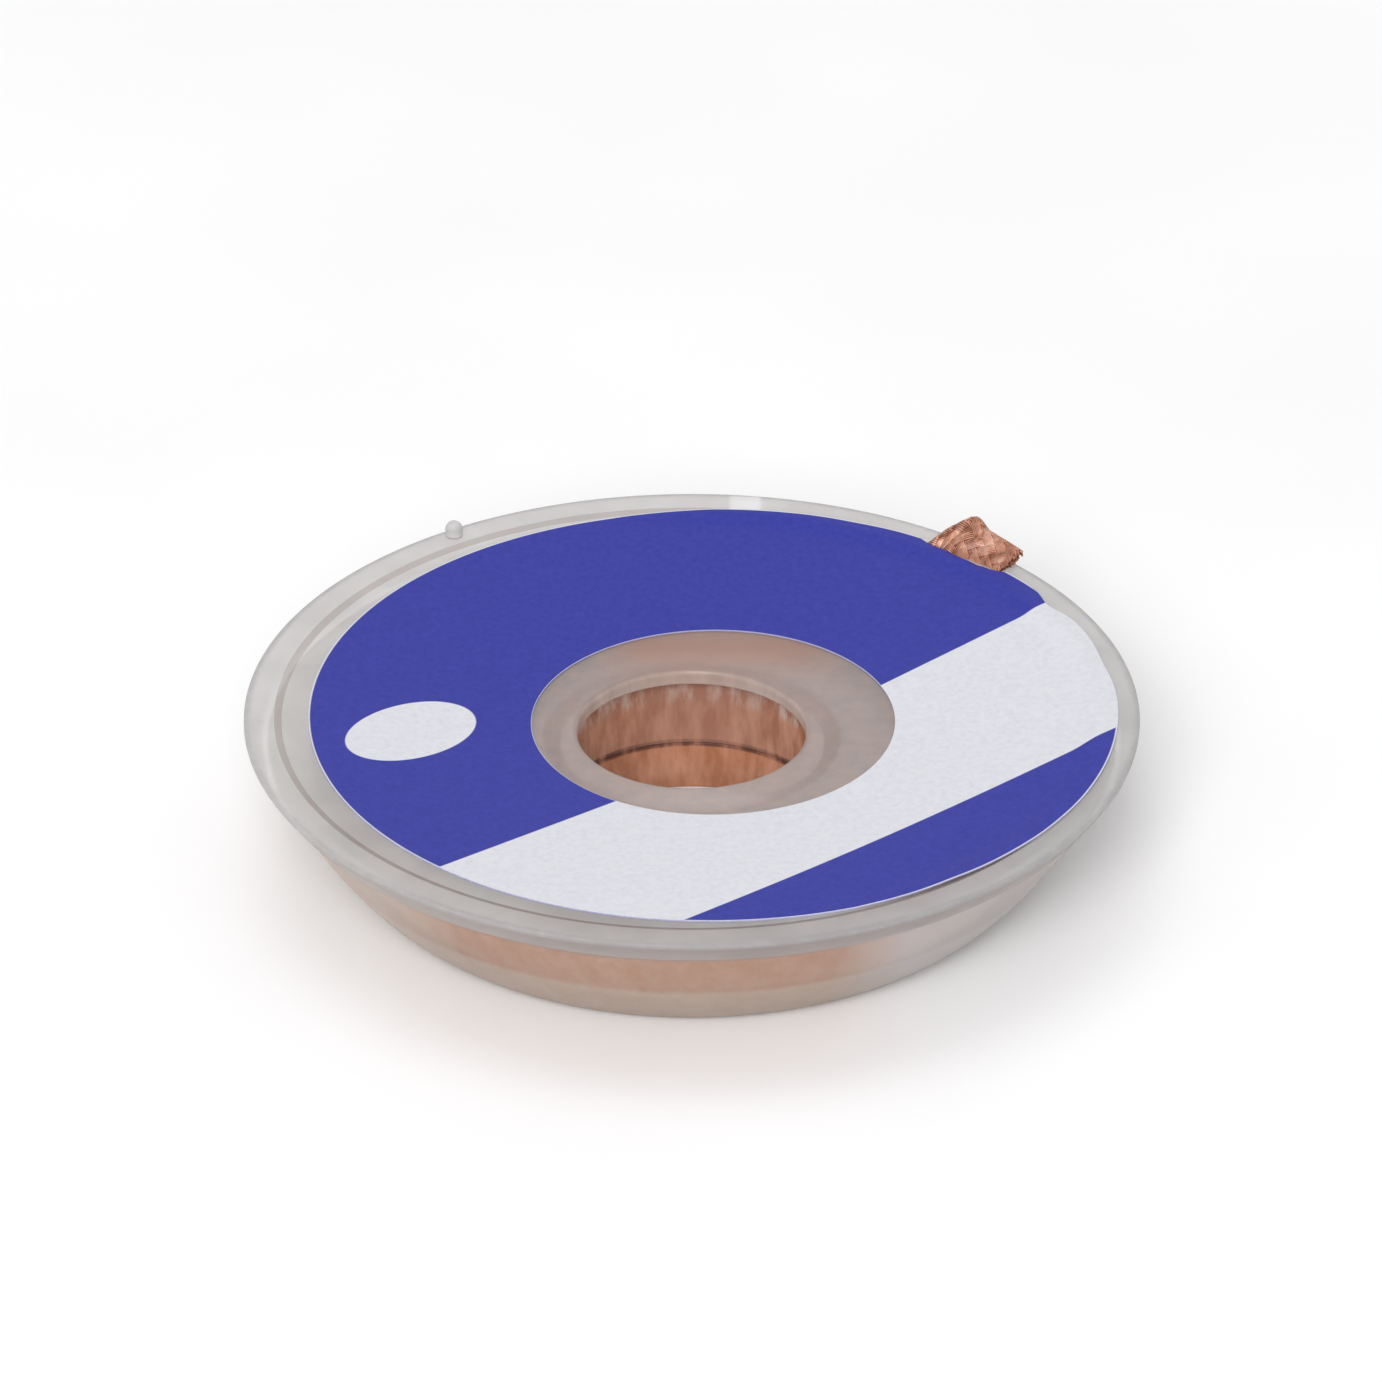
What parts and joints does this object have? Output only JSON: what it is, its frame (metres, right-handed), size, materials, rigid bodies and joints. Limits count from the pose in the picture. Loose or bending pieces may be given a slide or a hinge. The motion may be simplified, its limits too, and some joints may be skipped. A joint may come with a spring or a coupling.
{
  "type": "desoldering braid",
  "caption": "Desoldering braid wound in a thin milky bobbin with a dished flange, a flat printed ring label and a short free end.",
  "frame": {"origin": "centre of the flat bottom of the bobbin, on the axis of its hole", "axes": "+Z along the bobbin's axis, up through the labelled flange; +X to the right and +Y away in the picture"},
  "size_m": [0.046, 0.046, 0.0095],
  "materials": {
    "bobbin_plastic": "milky translucent moulded polypropylene, satin",
    "copper_braid": "bright woven copper wire with flux",
    "label_film": "printed film, blue with a white band"
  },
  "bodies": {
    "root": {"spool_upper_half": "bobbin_plastic", "spool_lower_half": "bobbin_plastic", "braid_roll": "copper_braid", "braid_free_end": "copper_braid", "label": "label_film"}
  },
  "joints": []
}
